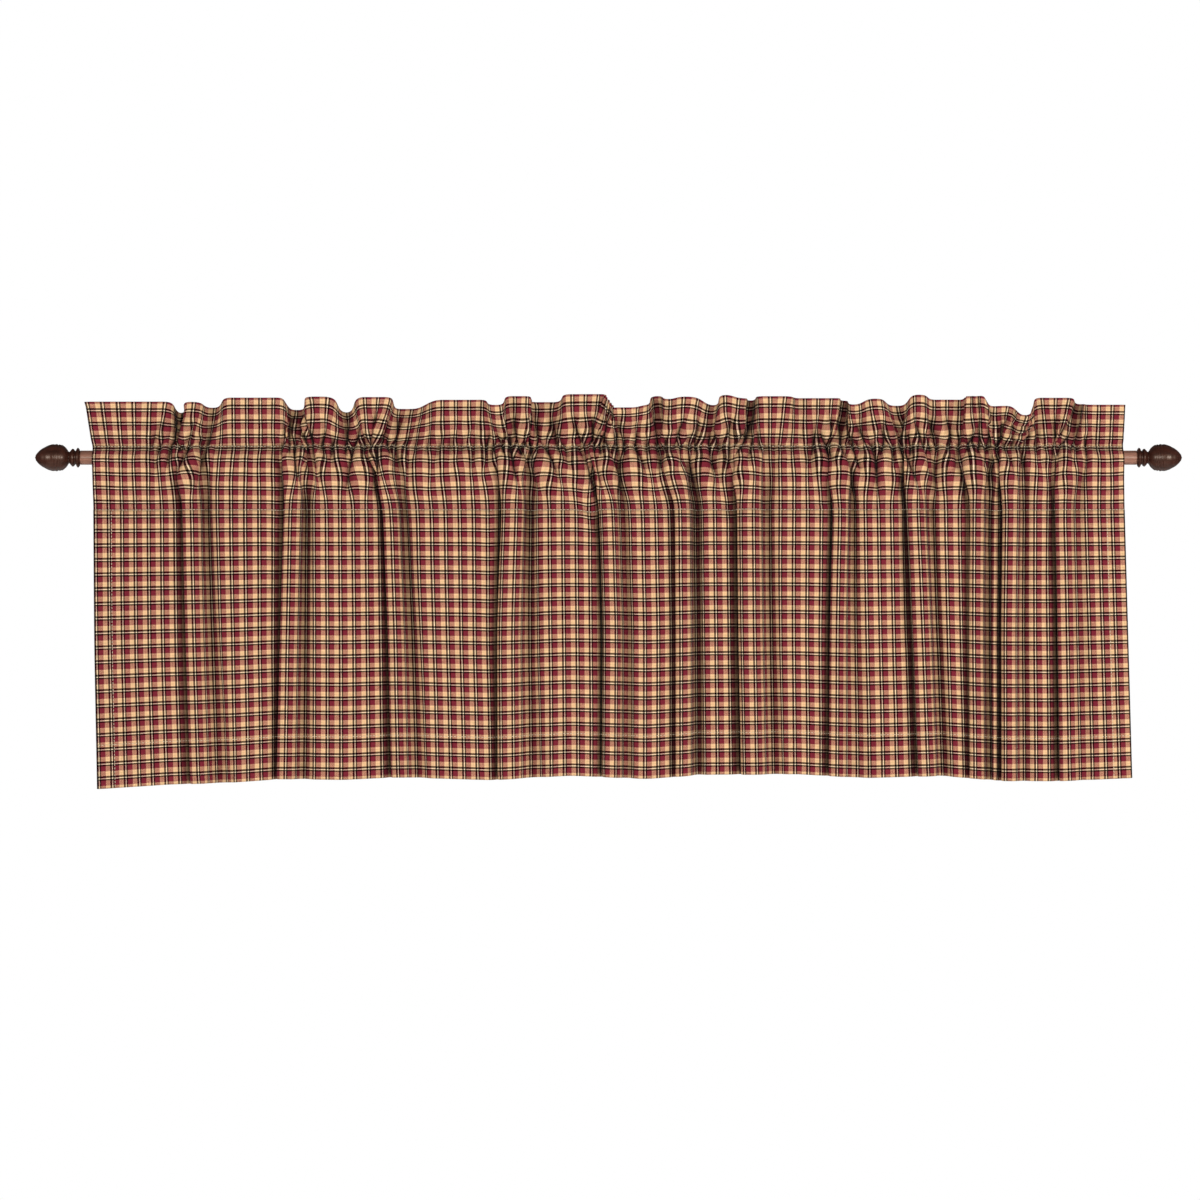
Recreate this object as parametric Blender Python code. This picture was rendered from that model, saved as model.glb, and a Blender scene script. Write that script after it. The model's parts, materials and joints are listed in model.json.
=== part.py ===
"""Window valance of woven check cotton, gathered on a round wooden curtain rod.

The origin is on the rod's axis, halfway along it. X runs along the rod, to the right as the window
is seen from the room, -Y points into the room and +Z up. Sizes in the tables are millimetres.
"""
import math
from collections import namedtuple

import bmesh
import bpy
import numpy as np

MM = 0.001
TURNED_SHARP_ANGLE = math.radians(40.0)
CLOTH_SHARP_ANGLE = math.radians(50.0)

# Rod and finials
ROD_RADIUS = 7.5
ROD_LENGTH = 1117.6
ROD_SIDES = 24
FINIAL_SIDES = 18
FINIAL_GAP = 0.3
FINIAL_LENGTH = 48.0
NECK_RADIUS = 6.2
NECK_AT = 11.9
ACORN_RADIUS = 14.2
ACORN_WIDEST_AT = 24.6
CUP_ROUNDNESS = 0.42
NUT_ROUNDNESS = 0.75
BEAD_RISE = 0.5
BEAD_WIDTH = 1.7

# The finial's collar: two rings and the neck, out from the rod's end.
LathePoint = namedtuple("LathePoint", "out radius")
COLLAR = (
    LathePoint(FINIAL_GAP, 7.2),
    LathePoint(1.4, 9.2),
    LathePoint(2.5, 10.4),
    LathePoint(3.6, 9.0),
    LathePoint(4.7, 7.2),
    LathePoint(5.9, 7.3),
    LathePoint(7.0, 8.9),
    LathePoint(8.0, 9.4),
    LathePoint(9.1, 8.2),
    LathePoint(10.6, 6.6),
    LathePoint(NECK_AT, NECK_RADIUS),
)
# Where the acorn's rings of points lie, as shares of the way from its widest ring to either end.
CUP_SHARES = (0.90, 0.78, 0.60, 0.36)
NUT_SHARES = (0.18, 0.35, 0.52, 0.68, 0.82, 0.93)

# Cloth
CLOTH_THICKNESS = 1.1
SEAM_THICKNESS = 1.6
HEADING_THICKNESS = 2.0
HEADING_STITCH_HEIGHT = 11.5
SEAM_ALLOWANCE = 0.4
RUFFLE_SPACING = 3.0
REAR_FOLD_SHARE = 0.45

# One row for each row of points down the cloth, from the heading's stitching to the hem.
# panel_y: where the flat stretches between the folds hang.
# front, back: share of each fold's rise and depth that is open here.
# spread: share of each fold's spread at the hem.
# nearest: how close the pocket's layers may come to the rod's axis.
# rear_y: where the pocket's rear layer hangs.
Level = namedtuple("Level", "name height panel_y front back spread nearest rear_y")
LEVELS = (
    Level("heading_stitch", HEADING_STITCH_HEIGHT, 0.0, 0.28, 0.25, 0.0, None, None),
    Level("rod_shoulder", 5.5, -9.6, 0.75, 0.20, 0.0, 7.5, 9.0),
    Level("rod_front", -1.0, -12.5, 1.00, 0.35, 0.0, 8.7, 11.5),
    Level("pocket_slack", -30.0, -7.5, 0.95, 0.65, 0.0, -1.0, 8.0),
    Level("pocket_stitch", -55.0, -4.0, 0.90, 0.95, 0.05, None, None),
    Level("upper", -120.0, -5.0, 1.00, 1.00, 0.25, None, None),
    Level("middle", -195.0, -6.5, 1.00, 1.00, 0.50, None, None),
    Level("lower", -270.0, -8.0, 1.00, 1.00, 0.80, None, None),
    Level("hem", -340.0, -9.0, 1.00, 1.00, 1.00, None, None),
)
STITCH_ROW = 0
POCKET_ROW = 4
HEM_ROW = len(LEVELS) - 1

# Where the side edges hang, and where each fold's crown runs, at these four heights.
TRACK_HEIGHTS = (HEADING_STITCH_HEIGHT, -55.0, -175.0, -340.0)
LEFT_EDGE = (-545.5, -544.5, -543.5, -540.0)
RIGHT_EDGE = (544.0, 545.5, 548.5, 553.0)

# One row for each fold that hangs proud of the panels, from the left.
# rise: how far its crown stands in front of the panels.
# left_depth, right_depth: how far the cloth turns back on either side.
# left_spread, right_spread: how much wider those turns are at the hem.
# next_bow: how far the panel on its right bows into the room.
Fold = namedtuple(
    "Fold",
    "at_heading at_pocket at_middle at_hem half_width rise"
    " left_depth right_depth left_spread right_spread next_bow",
)
FOLDS = (
    Fold(-444, -441, -438, -432, 9.0, 9, 12, 20, 9, 18, 4),
    Fold(-331, -334, -337, -340, 9.0, 9, 18, 15, 16, 5, 3),
    Fold(-241, -230, -225, -221, 8.0, 9, 18, 16, 8, 15, 4),
    Fold(-101, -102, -106, -105, 11.0, 10, 19, 21, 3, 16, 5),
    Fold(-8, 0, 4, 3, 9.0, 10, 19, 10, 5, 4, 2),
    Fold(66, 78, 79, 79, 8.5, 8, 9, 19, 3, 3, 0),
    Fold(148, 148, 149, 152, 12.0, 10, 18, 17, 5, 9, 3),
    Fold(242, 245, 242, 241, 8.0, 8, 17, 11, 12, 17, 2),
    Fold(323, 325, 330, 336, 9.5, 10, 14, 13, 5, 5, 1),
    Fold(387, 389, 388, 389, 8.0, 6, 8, 13, 6, 0, 0),
    Fold(424, 425, 423, 423, 8.5, 8, 12, 9, 1, 4, 1),
    Fold(481, 481, 483, 485, 9.0, 6, 15, 6, 11, 6, 2),
)
FIRST_BOW = 2.0
HEADING_NARROWING = 0.8
EDGE_OFFSET = 1.8

# A fold's cross-section, from its crown outwards on both sides, in half widths.
Turn = namedtuple("Turn", "name offset front back")
TURNS = (
    Turn("crown", 0.0, 1.0, 0.0),
    Turn("shoulder", 0.62, 0.84, 0.0),
    Turn("side", 0.93, 0.30, 0.25),
    Turn("valley", 1.13, 0.0, 1.0),
    Turn("valley_far", 1.42, 0.0, 0.95),
    Turn("edge", EDGE_OFFSET, 0.0, 0.0),
)

# One row for each flat or bend of the heading's upper edge, from the left.
Ruffle = namedtuple("Ruffle", "left right height y")
RUFFLES = (
    Ruffle(-554, -463, 58.0, -8),
    Ruffle(-455, -451, 46.5, 8),
    Ruffle(-447, -434, 57.5, -10),
    Ruffle(-423, -415, 52.0, 5),
    Ruffle(-404, -347, 62.5, -9),
    Ruffle(-335, -325, 50.0, 7),
    Ruffle(-318, -292, 63.5, -12),
    Ruffle(-281, -275, 47.0, 8),
    Ruffle(-264, -230, 63.0, -10),
    Ruffle(-225, -208, 51.0, 9),
    Ruffle(-178, -131, 60.0, -8),
    Ruffle(-125, -113, 54.0, -17),
    Ruffle(-107, -85, 64.5, -3),
    Ruffle(-80, -52, 58.5, 7),
    Ruffle(-47, -6, 66.5, -9),
    Ruffle(7, 27, 51.0, -17),
    Ruffle(39, 42, 54.0, -8),
    Ruffle(46, 55, 65.5, 7),
    Ruffle(60, 66, 61.0, -5),
    Ruffle(76, 89, 63.5, -12),
    Ruffle(110, 115, 54.5, 3),
    Ruffle(118, 128, 65.5, -12),
    Ruffle(137, 145, 62.0, -7),
    Ruffle(149, 153, 61.0, 6),
    Ruffle(158, 191, 64.0, -11),
    Ruffle(199, 244, 62.5, 1),
    Ruffle(248, 252, 61.0, 9),
    Ruffle(256, 262, 55.0, -4),
    Ruffle(277, 285, 61.0, -12),
    Ruffle(301, 311, 54.0, 2),
    Ruffle(323, 332, 65.5, -11),
    Ruffle(342, 372, 60.5, -3),
    Ruffle(380, 394, 64.0, -12),
    Ruffle(404, 423, 53.0, -8),
    Ruffle(437, 443, 43.5, -15),
    Ruffle(454, 492, 63.0, 3),
    Ruffle(497, 500, 57.0, 9),
    Ruffle(507, 546, 54.5, -6),
)
HEADING_MIDDLE = 0.5
END_RUFFLE_BENDS = (0.33, 0.67, 1.0)
FLARE = 9.0
FLARE_REACH = 80.0

# The lower edge of the hem, at the points where it bends.
HemPoint = namedtuple("HemPoint", "x height")
HEM_LINE = (
    HemPoint(-540, -350.5),
    HemPoint(-464, -345.0),
    HemPoint(-400, -343.0),
    HemPoint(-345, -339.0),
    HemPoint(-280, -340.0),
    HemPoint(-222, -337.0),
    HemPoint(-122, -340.0),
    HemPoint(-40, -335.0),
    HemPoint(40, -339.0),
    HemPoint(97, -334.5),
    HemPoint(200, -333.5),
    HemPoint(270, -338.0),
    HemPoint(350, -335.5),
    HemPoint(414, -341.0),
    HemPoint(470, -341.5),
    HemPoint(553, -338.0),
)

WALNUT = (0.085, 0.040, 0.030)
FINIAL_WALNUT = (0.050, 0.022, 0.017)
CHECK_CLOTH = (0.36, 0.13, 0.095)


def clear_scene():
    for item in list(bpy.data.objects):
        bpy.data.objects.remove(item, do_unlink=True)


def make_material(name, color, roughness):
    material = bpy.data.materials.new(name)
    material.use_nodes = True
    shader = material.node_tree.nodes["Principled BSDF"]
    shader.inputs["Base Color"].default_value = (*color, 1.0)
    shader.inputs["Roughness"].default_value = roughness
    shader.inputs["Metallic"].default_value = 0.0
    material.diffuse_color = (*color, 1.0)
    return material


def add_object(name, mesh, material):
    item = bpy.data.objects.new(name, mesh)
    mesh.materials.append(material)
    bpy.context.scene.collection.objects.link(item)


def turn_on_lathe(name, profile, sides, material):
    """Turns a profile of (distance along X, radius) round the X axis into a closed solid."""
    shape = bmesh.new()
    points = [shape.verts.new((along * MM, 0.0, radius * MM)) for along, radius in profile]
    edges = [shape.edges.new(pair) for pair in zip(points, points[1:])]
    bmesh.ops.spin(
        shape,
        geom=points + edges,
        cent=(0.0, 0.0, 0.0),
        axis=(1.0, 0.0, 0.0),
        angle=2.0 * math.pi,
        steps=sides,
    )
    bmesh.ops.remove_doubles(shape, verts=shape.verts, dist=0.01 * MM)
    bmesh.ops.recalc_face_normals(shape, faces=shape.faces)
    mesh = bpy.data.meshes.new(name)
    shape.to_mesh(mesh)
    shape.free()
    mesh.shade_smooth()
    mesh.set_sharp_from_angle(angle=TURNED_SHARP_ANGLE)
    add_object(name, mesh, material)


def make_rod(material):
    half = ROD_LENGTH / 2.0
    profile = ((-half, 0.0), (-half, ROD_RADIUS), (half, ROD_RADIUS), (half, 0.0))
    turn_on_lathe("rod", profile, ROD_SIDES, material)


def finial_profile():
    """An acorn on a neck with two rings, as distances out from the rod's end and radii."""
    cup = []
    cup_length = ACORN_WIDEST_AT - NECK_AT
    for share in CUP_SHARES:
        radius = ACORN_RADIUS * (1.0 - share ** 2) ** CUP_ROUNDNESS
        cup.append((ACORN_WIDEST_AT - share * cup_length, radius))
    beads = [
        (ACORN_WIDEST_AT - 2.0 * BEAD_WIDTH, ACORN_RADIUS),
        (ACORN_WIDEST_AT - BEAD_WIDTH, ACORN_RADIUS - BEAD_RISE),
        (ACORN_WIDEST_AT, ACORN_RADIUS + BEAD_RISE / 2.0),
        (ACORN_WIDEST_AT + BEAD_WIDTH, ACORN_RADIUS - BEAD_RISE),
    ]
    nut = []
    nut_length = FINIAL_LENGTH - ACORN_WIDEST_AT
    for share in NUT_SHARES:
        radius = ACORN_RADIUS * (1.0 - share ** 2) ** NUT_ROUNDNESS
        nut.append((ACORN_WIDEST_AT + share * nut_length, radius))
    return [(FINIAL_GAP, 0.0), *COLLAR, *cup, *beads, *nut, (FINIAL_LENGTH, 0.0)]


def make_finials(material):
    rod_end = ROD_LENGTH / 2.0
    for name, side in (("finial_left", -1.0), ("finial_right", 1.0)):
        profile = [(side * (rod_end + out), radius) for out, radius in finial_profile()]
        turn_on_lathe(name, profile, FINIAL_SIDES, material)


def along_track(height, track):
    """Where a track that is given at the four track heights runs at this height."""
    return np.interp(-height, [-known for known in TRACK_HEIGHTS], track)


def fold_knots(level):
    """The knots of one level's line across the cloth: where they are gathered, their x and y."""
    gathered = [LEFT_EDGE[0]]
    xs = [along_track(level.height, LEFT_EDGE)]
    ys = [level.panel_y]
    narrowing = HEADING_NARROWING if level is LEVELS[STITCH_ROW] else 1.0
    for fold in FOLDS:
        track = (fold.at_heading, fold.at_pocket, fold.at_middle, fold.at_hem)
        crown = along_track(level.height, track)
        for side, depth, spread in (
            (-1, fold.left_depth, fold.left_spread),
            (1, fold.right_depth, fold.right_spread),
        ):
            turns = TURNS[::-1] if side < 0 else TURNS[1:]
            for turn in turns:
                offset = turn.offset * fold.half_width
                gathered.append(fold.at_heading + side * offset * HEADING_NARROWING)
                outside = turn.offset > 1.0
                widening = outside * spread * level.spread * turn.offset / EDGE_OFFSET
                xs.append(crown + side * (offset * narrowing + widening))
                rise = turn.front * fold.rise * level.front
                fall = turn.back * depth * level.back
                ys.append(level.panel_y - rise + fall)
    gathered.append(RIGHT_EDGE[0])
    xs.append(along_track(level.height, RIGHT_EDGE))
    ys.append(level.panel_y)
    return np.array(gathered), np.array(xs), np.array(ys)


def flare(gathered):
    """How far the heading's upper edge leans out past its stitching near the left corner."""
    nearness = np.clip((gathered - LEFT_EDGE[0]) / FLARE_REACH, 0.0, 1.0)
    return -FLARE * (1.0 - nearness) ** 2


def stations():
    """Places along the heading's stitching where the cloth bends, in order from the left."""
    chosen = list(fold_knots(LEVELS[STITCH_ROW])[0])
    first = RUFFLES[0]
    bends = [first.left + share * (first.right - first.left) for share in END_RUFFLE_BENDS]
    for ruffle in RUFFLES[1:-1]:
        bends += [ruffle.left, ruffle.right]
    for place in bends:
        if min(abs(place - other) for other in chosen) > RUFFLE_SPACING:
            chosen.append(place)
    return np.array(sorted(chosen))


def panel_bow(gathered):
    """How far the cloth between two folds bows into the room."""
    reach = [EDGE_OFFSET * fold.half_width * HEADING_NARROWING for fold in FOLDS]
    starts = [LEFT_EDGE[0]] + [fold.at_heading + r for fold, r in zip(FOLDS, reach)]
    ends = [fold.at_heading - r for fold, r in zip(FOLDS, reach)] + [RIGHT_EDGE[0]]
    bows = [FIRST_BOW] + [fold.next_bow for fold in FOLDS]
    bow = np.zeros_like(gathered)
    for start, end, height in zip(starts, ends, bows):
        inside = (gathered > start) & (gathered < end)
        share = (gathered[inside] - start) / (end - start)
        bow[inside] = height * np.sin(math.pi * share)
    return bow


def level_line(gathered, level):
    """One line across the front of the cloth, as x, y and z for every station."""
    knots, xs, ys = fold_knots(level)
    x = np.interp(gathered, knots, xs)
    y = np.interp(gathered, knots, ys) - panel_bow(gathered) * level.front
    if level.nearest is not None:
        y = np.minimum(y, -level.nearest)
    z = np.full_like(x, level.height)
    if level is LEVELS[HEM_ROW]:
        z = np.interp(x, [point.x for point in HEM_LINE], [point.height for point in HEM_LINE])
    return np.stack((x, y, z), axis=1)


def rear_line(front, level):
    """The pocket's rear layer behind one front line: the same folds, but shallower."""
    rear = front.copy()
    folds = front[:, 1] - level.panel_y
    rear[:, 1] = np.maximum(level.rear_y + REAR_FOLD_SHARE * folds, level.nearest)
    return rear


def heading_lines(gathered, stitch):
    """The heading's upper edge and the line halfway down to the stitching."""
    xs = [place for ruffle in RUFFLES for place in (ruffle.left, ruffle.right)]
    heights = [ruffle.height for ruffle in RUFFLES for _ in (0, 1)]
    ys = [ruffle.y for ruffle in RUFFLES for _ in (0, 1)]
    top_x = gathered + flare(gathered)
    top = np.stack((top_x, np.interp(top_x, xs, ys), np.interp(top_x, xs, heights)), axis=1)
    middle = stitch + HEADING_MIDDLE * (top - stitch)
    return top, middle


def sheet_normals(lines):
    """Unit normals of a sheet of lines, pointing into the room."""
    across = np.gradient(lines, axis=1)
    down = np.gradient(lines, axis=0)
    normals = np.cross(down, across)
    normals /= np.linalg.norm(normals, axis=2, keepdims=True)
    facing_room = normals[:, :, 1:2] < 0.0
    return np.where(facing_room, normals, -normals)


def make_cloth(material):
    """The whole valance as one solid: hem, panel, pocket round the rod and doubled heading."""
    gathered = stations()
    front_lines = [level_line(gathered, level) for level in LEVELS]
    top, heading_middle = heading_lines(gathered, front_lines[STITCH_ROW])
    sheet = np.array([top, heading_middle] + front_lines)
    normals = sheet_normals(sheet)
    stitch_row = 2 + STITCH_ROW
    pocket_row = 2 + POCKET_ROW
    pocket_levels = LEVELS[STITCH_ROW + 1:POCKET_ROW]
    rear = np.array([rear_line(front_lines[1 + i], lv) for i, lv in enumerate(pocket_levels)])
    rear_sheet = np.array([sheet[stitch_row], *rear, sheet[pocket_row]])
    rear_normals = sheet_normals(rear_sheet)[1:-1]
    half = CLOTH_THICKNESS / 2.0
    halves = np.full(len(sheet), half)
    halves[:stitch_row] = HEADING_THICKNESS / 2.0
    halves[[stitch_row, pocket_row]] = SEAM_THICKNESS / 2.0
    halves = halves[:, None, None]
    front_face = sheet + normals * halves
    back_face = sheet - normals * halves
    lining_face = sheet[stitch_row + 1:pocket_row] - normals[stitch_row + 1:pocket_row] * half
    back_face[stitch_row + 1:pocket_row] = rear - rear_normals * half
    rear_inner = rear + rear_normals * half
    seam_top = sheet[stitch_row] - (0.0, 0.0, SEAM_ALLOWANCE)
    seam_bottom = sheet[pocket_row] + (0.0, 0.0, SEAM_ALLOWANCE)

    shape = bmesh.new()

    def add_points(lines):
        return [[shape.verts.new(point * MM) for point in line] for line in lines]

    front = add_points(front_face)
    back = add_points(back_face)
    top_seam, bottom_seam = add_points((seam_top, seam_bottom))
    inner_front = [top_seam] + add_points(lining_face) + [bottom_seam]
    inner_rear = [top_seam] + add_points(rear_inner) + [bottom_seam]

    def skin(rows):
        for upper, lower in zip(rows, rows[1:]):
            for i in range(len(upper) - 1):
                shape.faces.new((upper[i], upper[i + 1], lower[i + 1], lower[i]))

    skin(front)
    skin(back)
    skin([front[0], back[0]])
    skin([front[-1], back[-1]])
    skin(inner_front)
    skin(inner_rear)
    for end in (0, -1):
        close_end(shape, front, back, inner_front, inner_rear, stitch_row, pocket_row, end)
    bmesh.ops.triangulate(shape, faces=shape.faces, quad_method="FIXED")
    bmesh.ops.recalc_face_normals(shape, faces=shape.faces)
    mesh = bpy.data.meshes.new("valance_cloth")
    shape.to_mesh(mesh)
    shape.free()
    mesh.shade_smooth()
    mesh.set_sharp_from_angle(angle=CLOTH_SHARP_ANGLE)
    add_object("valance_cloth", mesh, material)


def close_end(shape, front, back, inner_front, inner_rear, stitch_row, pocket_row, end):
    """Closes the cut end of the cloth at one side edge, leaving the pocket open."""
    for row in range(len(front) - 1):
        in_pocket = stitch_row <= row < pocket_row
        if in_pocket:
            inner = row - stitch_row
            for outer, lining in ((front, inner_front), (back, inner_rear)):
                shape.faces.new((
                    outer[row][end],
                    outer[row + 1][end],
                    lining[inner + 1][end],
                    lining[inner][end],
                ))
            continue
        loop = [front[row][end], front[row + 1][end]]
        if row + 1 == stitch_row:
            loop.append(inner_front[0][end])
        loop += [back[row + 1][end], back[row][end]]
        if row == pocket_row:
            loop.append(inner_front[-1][end])
        shape.faces.new(loop)


def main():
    clear_scene()
    make_rod(make_material("walnut", WALNUT, 0.45))
    make_finials(make_material("dark_walnut", FINIAL_WALNUT, 0.40))
    make_cloth(make_material("check_cloth", CHECK_CLOTH, 0.90))


main()
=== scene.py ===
"""Looks of a gathered window valance of woven check cotton on a round wooden curtain rod.

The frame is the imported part. X runs along the rod, -Y points into the room, +Z is up. The cloth's
tables are in millimetres, and everything that reaches Blender is in metres.
"""

import json
import math
from collections import namedtuple

import bpy
import numpy as np
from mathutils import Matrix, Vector

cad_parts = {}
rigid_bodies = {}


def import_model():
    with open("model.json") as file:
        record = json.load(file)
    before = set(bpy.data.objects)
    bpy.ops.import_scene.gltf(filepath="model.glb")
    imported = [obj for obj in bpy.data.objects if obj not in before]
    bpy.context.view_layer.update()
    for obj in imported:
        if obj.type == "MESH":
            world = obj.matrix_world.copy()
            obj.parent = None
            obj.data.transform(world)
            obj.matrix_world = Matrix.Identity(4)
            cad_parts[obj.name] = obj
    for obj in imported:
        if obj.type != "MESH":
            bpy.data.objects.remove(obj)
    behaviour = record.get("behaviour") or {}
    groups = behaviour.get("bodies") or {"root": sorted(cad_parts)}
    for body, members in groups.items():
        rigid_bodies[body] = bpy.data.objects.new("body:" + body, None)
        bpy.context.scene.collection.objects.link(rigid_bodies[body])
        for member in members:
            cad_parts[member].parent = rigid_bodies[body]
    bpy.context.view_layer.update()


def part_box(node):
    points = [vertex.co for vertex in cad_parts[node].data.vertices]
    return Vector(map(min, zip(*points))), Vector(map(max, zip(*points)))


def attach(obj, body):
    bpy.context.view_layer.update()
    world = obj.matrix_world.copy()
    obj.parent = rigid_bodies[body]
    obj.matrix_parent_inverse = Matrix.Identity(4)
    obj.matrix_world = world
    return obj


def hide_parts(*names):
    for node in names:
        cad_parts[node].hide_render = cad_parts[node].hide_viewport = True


bl_info = {
    "name": "Window valance",
    "version": (1, 0, 0),
    "blender": (4, 5, 0),
    "location": "3D View > Sidebar > Valance",
    "description": "Gathered check valance on a wooden rod with acorn finials",
    "category": "Add Mesh",
}

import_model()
ROD_LOW, ROD_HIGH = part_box("rod")
FINIAL_LOW, FINIAL_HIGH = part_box("finial_right")

MM = 0.001
BODY = "root"
SEED = 7

# The cloth: one row for each level of its front, from the heading's stitching to the hem.
# panel_y: where the flat stretches between the folds hang.
# front, back: share of each fold's rise and depth that is open here.
# swell: how wide the folds are here, as a share of their half width.
# spread: share of each fold's spread at the hem.
# rear_y: where the pocket's rear layer hangs.
Level = namedtuple("Level", "name height panel_y front back swell spread rear_y")
LEVELS = (
    Level("heading_stitch", 11.5, -3.0, 0.35, 0.25, 1.15, 0.0, 1.2),
    Level("rod_shoulder", 5.5, -7.8, 0.60, 0.30, 1.15, 0.0, 9.2),
    Level("rod_front", -1.0, -11.5, 0.90, 0.40, 1.12, 0.0, 11.3),
    Level("pocket_slack", -30.0, -7.5, 1.00, 0.85, 1.08, 0.0, 6.5),
    Level("pocket_stitch", -55.0, -4.0, 0.90, 0.95, 1.00, 0.05, -2.9),
    Level("upper", -120.0, -5.0, 1.00, 1.00, 1.00, 0.25, None),
    Level("middle", -195.0, -6.5, 1.00, 1.00, 1.00, 0.50, None),
    Level("lower", -270.0, -8.0, 1.00, 1.00, 1.00, 0.80, None),
    Level("hem", -340.0, -9.0, 1.00, 1.00, 1.00, 1.00, None),
)
HEADING_STITCH = LEVELS[0].height
POCKET_STITCH = LEVELS[4].height
HEM_HEIGHT = LEVELS[8].height
HEM_STITCH = -292.5
OPEN_LEVEL = LEVELS[6]

# Where the side edges hang, and where each fold's crown runs, at these four heights.
TRACK_HEIGHTS = (HEADING_STITCH, POCKET_STITCH, -175.0, HEM_HEIGHT)
LEFT_EDGE = (-545.5, -544.5, -543.5, -540.0)
RIGHT_EDGE = (544.0, 545.5, 548.5, 553.0)

# One row for each fold that hangs proud of the panels, from the left.
Fold = namedtuple(
    "Fold",
    "at_heading at_pocket at_middle at_hem half_width rise"
    " left_depth right_depth left_spread right_spread next_bow",
)
FOLDS = (
    Fold(-444, -441, -438, -432, 9.0, 9, 12, 16, 9, 18, 4),
    Fold(-331, -334, -337, -340, 9.0, 9, 16, 13, 10, 7, 3),
    Fold(-241, -230, -225, -221, 8.0, 9, 16, 14, 6, 15, 4),
    Fold(-101, -102, -106, -105, 11.0, 10, 17, 17, 3, 16, 5),
    Fold(-8, 0, 4, 3, 9.0, 10, 17, 10, 5, 4, 2),
    Fold(66, 78, 79, 79, 8.5, 8, 9, 16, 3, 3, 0),
    Fold(148, 148, 149, 152, 12.0, 10, 17, 15, 5, 9, 3),
    Fold(242, 245, 242, 241, 8.0, 8, 15, 11, 12, 17, 2),
    Fold(323, 325, 330, 336, 9.5, 10, 14, 13, 5, 5, 1),
    Fold(387, 389, 388, 389, 8.0, 6, 8, 12, 6, 0, 0),
    Fold(424, 425, 423, 423, 8.5, 8, 12, 9, 1, 4, 1),
    Fold(481, 481, 483, 485, 9.0, 6, 14, 6, 11, 6, 2),
)
FIRST_BOW = 2.0
EDGE_OFFSET = 2.4

# A fold's cross-section from its left edge, over its crown, to its right edge, in half widths.
# Its left side lies over the panel next to it, and its right side falls into a trough.
Turn = namedtuple("Turn", "offset front back")
TURNS = (
    Turn(-1.95, 0.0, 0.0),
    Turn(-1.45, 0.0, 0.14),
    Turn(-1.10, 0.0, 0.50),
    Turn(-0.62, 0.0, 0.72),
    Turn(-0.58, 0.0, 0.46),
    Turn(-1.03, 0.10, 0.10),
    Turn(-0.90, 0.60, 0.0),
    Turn(-0.48, 0.90, 0.0),
    Turn(0.0, 1.0, 0.0),
    Turn(0.42, 0.92, 0.0),
    Turn(0.76, 0.66, 0.0),
    Turn(1.02, 0.25, 0.02),
    Turn(1.22, 0.0, 0.24),
    Turn(1.42, 0.0, 0.60),
    Turn(1.68, 0.0, 0.74),
    Turn(1.98, 0.0, 0.50),
    Turn(EDGE_OFFSET, 0.0, 0.0),
)
CROWN_TURN = 8

# One row for each flat or bend of the heading's upper edge, from the left.
Ruffle = namedtuple("Ruffle", "left right height y")
RUFFLES = (
    Ruffle(-554, -463, 58.0, -9),
    Ruffle(-455, -451, 46.5, 12),
    Ruffle(-447, -434, 57.5, -12),
    Ruffle(-423, -415, 52.0, 8),
    Ruffle(-404, -347, 62.5, -10),
    Ruffle(-335, -325, 50.0, 10),
    Ruffle(-318, -292, 63.5, -14),
    Ruffle(-281, -275, 47.0, 12),
    Ruffle(-264, -230, 63.0, -12),
    Ruffle(-225, -208, 51.0, 14),
    Ruffle(-178, -131, 60.0, -9),
    Ruffle(-125, -113, 54.0, -20),
    Ruffle(-107, -85, 64.5, -3),
    Ruffle(-80, -52, 58.5, 10),
    Ruffle(-47, -6, 66.5, -10),
    Ruffle(7, 27, 51.0, -20),
    Ruffle(39, 42, 54.0, -9),
    Ruffle(46, 55, 65.5, 10),
    Ruffle(60, 66, 61.0, -6),
    Ruffle(76, 89, 63.5, -14),
    Ruffle(110, 115, 54.5, 4),
    Ruffle(118, 128, 65.5, -14),
    Ruffle(137, 145, 62.0, -8),
    Ruffle(149, 153, 61.0, 18),
    Ruffle(158, 191, 64.0, -13),
    Ruffle(199, 244, 62.5, 2),
    Ruffle(248, 252, 61.0, 19),
    Ruffle(256, 262, 55.0, -5),
    Ruffle(277, 285, 61.0, -14),
    Ruffle(301, 311, 54.0, 3),
    Ruffle(323, 332, 65.5, -13),
    Ruffle(342, 372, 60.5, -3),
    Ruffle(380, 394, 64.0, -14),
    Ruffle(404, 423, 53.0, -9),
    Ruffle(437, 443, 43.5, -17),
    Ruffle(454, 492, 63.0, 4),
    Ruffle(497, 500, 57.0, 17),
    Ruffle(507, 546, 54.5, -7),
)

# The lower edge of the hem, at the points where it bends.
HemPoint = namedtuple("HemPoint", "x height")
HEM_LINE = (
    HemPoint(-540, -350.5),
    HemPoint(-464, -345.0),
    HemPoint(-400, -343.0),
    HemPoint(-345, -339.0),
    HemPoint(-280, -340.0),
    HemPoint(-222, -337.0),
    HemPoint(-122, -340.0),
    HemPoint(-40, -335.0),
    HemPoint(40, -339.0),
    HemPoint(97, -334.5),
    HemPoint(200, -333.5),
    HemPoint(270, -338.0),
    HemPoint(350, -335.5),
    HemPoint(414, -341.0),
    HemPoint(470, -341.5),
    HemPoint(553, -338.0),
)

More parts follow.
